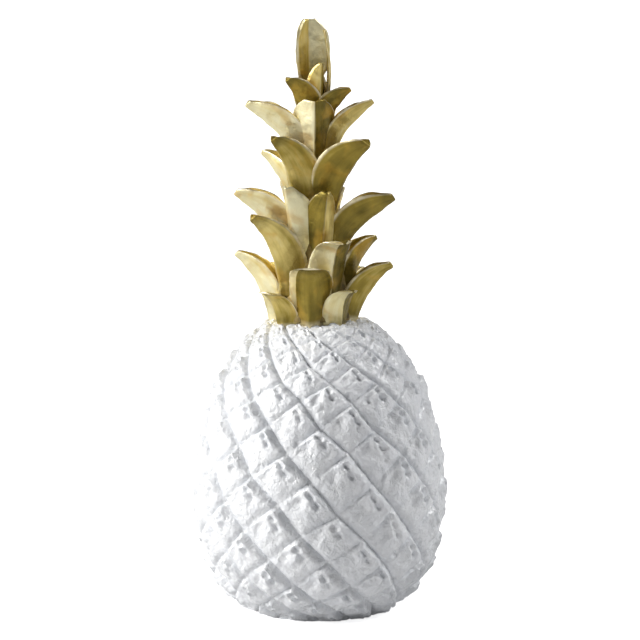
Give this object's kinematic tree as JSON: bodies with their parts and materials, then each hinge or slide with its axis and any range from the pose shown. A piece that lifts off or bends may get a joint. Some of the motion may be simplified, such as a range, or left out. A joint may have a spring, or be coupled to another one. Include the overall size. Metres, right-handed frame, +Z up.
{
  "type": "pineapple coin bank",
  "caption": "Free-standing pineapple-shaped coin bank: hollow fruit with a spiral lattice of fruitlets, rear coin slot, gilded crown of leaves and a soft stopper in the base.",
  "frame": {"origin": "on the ground under the axis of the fruit, at the middle of the foot ring", "axes": "+Z up along the fruit's axis, front (the side in the picture) towards -Y, coin slot towards +Y, +X to the viewer's right"},
  "size_m": [0.1046, 0.1047, 0.2375],
  "materials": {
    "white_paint": "satin",
    "gold_paint": "satin",
    "plug": "matte"
  },
  "bodies": {
    "bank": {"fruit_body": "white_paint", "crown_stalk": "gold_paint", "leaf_row1_1": "gold_paint", "leaf_row1_2": "gold_paint", "leaf_row1_3": "gold_paint", "leaf_row1_4": "gold_paint", "leaf_row1_5": "gold_paint", "leaf_row1_6": "gold_paint", "leaf_row1_7": "gold_paint", "leaf_row1_8": "gold_paint", "leaf_row2_1": "gold_paint", "leaf_row2_2": "gold_paint", "leaf_row2_3": "gold_paint", "leaf_row2_4": "gold_paint", "leaf_row2_5": "gold_paint", "leaf_row2_6": "gold_paint", "leaf_row3_1": "gold_paint", "leaf_row3_2": "gold_paint", "leaf_row3_3": "gold_paint", "leaf_row3_4": "gold_paint", "leaf_row3_5": "gold_paint", "leaf_row3_6": "gold_paint", "leaf_row4_1": "gold_paint", "leaf_row4_2": "gold_paint", "leaf_row4_3": "gold_paint", "leaf_row4_4": "gold_paint", "leaf_row4_5": "gold_paint", "leaf_row5_1": "gold_paint", "leaf_row5_2": "gold_paint", "leaf_row5_3": "gold_paint", "leaf_row5_4": "gold_paint", "leaf_row5_5": "gold_paint", "leaf_row6_1": "gold_paint", "leaf_row6_2": "gold_paint", "leaf_row6_3": "gold_paint", "leaf_row7_1": "gold_paint", "leaf_row7_2": "gold_paint", "leaf_row7_3": "gold_paint"},
    "stopper": {"stopper": "plug"}
  },
  "joints": [
    {"name": "stopper_pull", "type": "slide", "parent": "bank", "child": "stopper", "axis": [0, 0, -1], "range_m": [0, 0.025]}
  ]
}
